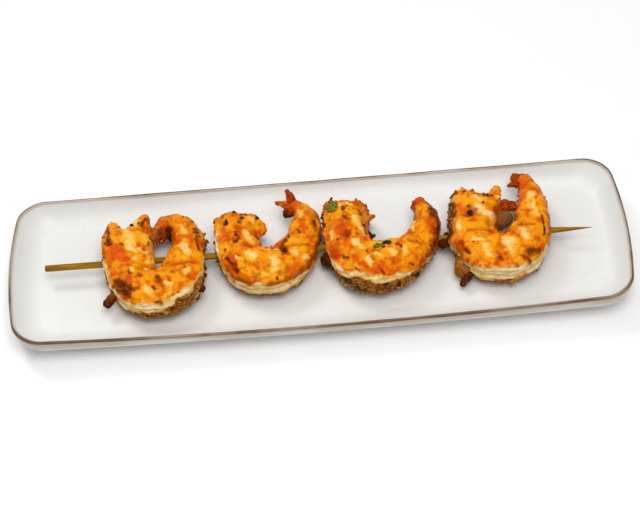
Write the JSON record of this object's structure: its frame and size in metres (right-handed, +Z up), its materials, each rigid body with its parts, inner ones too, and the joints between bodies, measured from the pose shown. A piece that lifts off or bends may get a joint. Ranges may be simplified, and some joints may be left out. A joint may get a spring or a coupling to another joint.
{
  "type": "dish of shrimp skewers",
  "caption": "Oblong glazed stoneware plate with a bamboo skewer of grilled, curled, peeled shrimp lying along it.",
  "frame": {"origin": "middle of the plate's foot, on the surface that the plate stands on", "axes": "+X along the plate towards the skewer's point, +Y to the back where the curls open, +Z up"},
  "size_m": [0.284, 0.088, 0.0246],
  "materials": {
    "glaze": "gloss",
    "rim_brown": "satin",
    "bamboo": "matte",
    "grilled_shrimp": "moist satin",
    "herb": "matte",
    "char": "matte"
  },
  "bodies": {
    "root": {"plate": "glaze", "skewer": "bamboo", "shrimp_1": "grilled_shrimp", "shrimp_2": "grilled_shrimp", "shrimp_3": "grilled_shrimp", "shrimp_4": "grilled_shrimp"}
  },
  "joints": []
}
